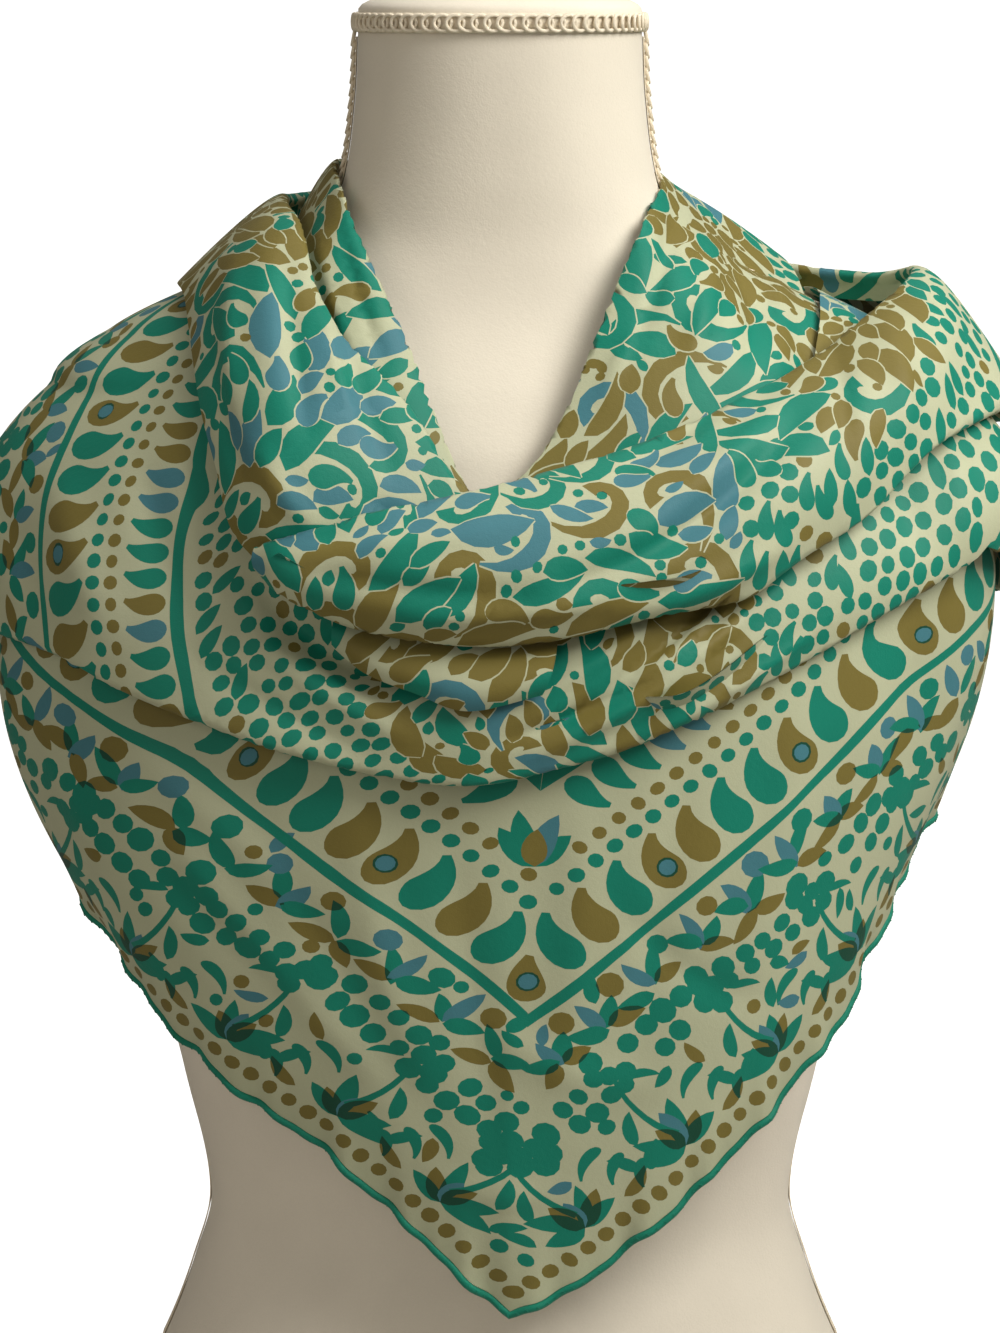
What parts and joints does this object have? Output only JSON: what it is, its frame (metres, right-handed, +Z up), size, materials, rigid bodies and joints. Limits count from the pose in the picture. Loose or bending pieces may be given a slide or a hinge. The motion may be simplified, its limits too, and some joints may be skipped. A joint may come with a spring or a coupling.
{
  "type": "silk square scarf on a limbless dress form",
  "caption": "Printed silk square worn point-forward in cowl folds and knotted at the nape of a limbless dress form.",
  "frame": {"origin": "centre of the dress form's flat base", "axes": "+Z up along the form, -Y to the front where the scarf's point hangs, +X to the right as seen from the front"},
  "size_m": [0.441, 0.2788, 0.6903],
  "materials": {
    "silk_print": "soft satin, printed",
    "silk_hem": "rolled and stitched, satin",
    "form_cloth": "matt woven cover",
    "form_braid": "matt braid"
  },
  "bodies": {
    "root": {"form_body": "form_cloth", "form_neck_cap": "form_cloth", "form_rim_braid": "form_braid", "form_braid_left": "form_braid", "form_braid_right": "form_braid", "scarf_neck_drape": "silk_print", "scarf_left_roll": "silk_print", "scarf_upper_drape": "silk_print", "scarf_middle_fold": "silk_print", "scarf_lower_swag": "silk_print", "scarf_front_point": "silk_print", "scarf_rolled_hem": "silk_hem", "scarf_knot": "silk_print", "scarf_tail_left": "silk_print", "scarf_tail_right": "silk_print"}
  },
  "joints": []
}
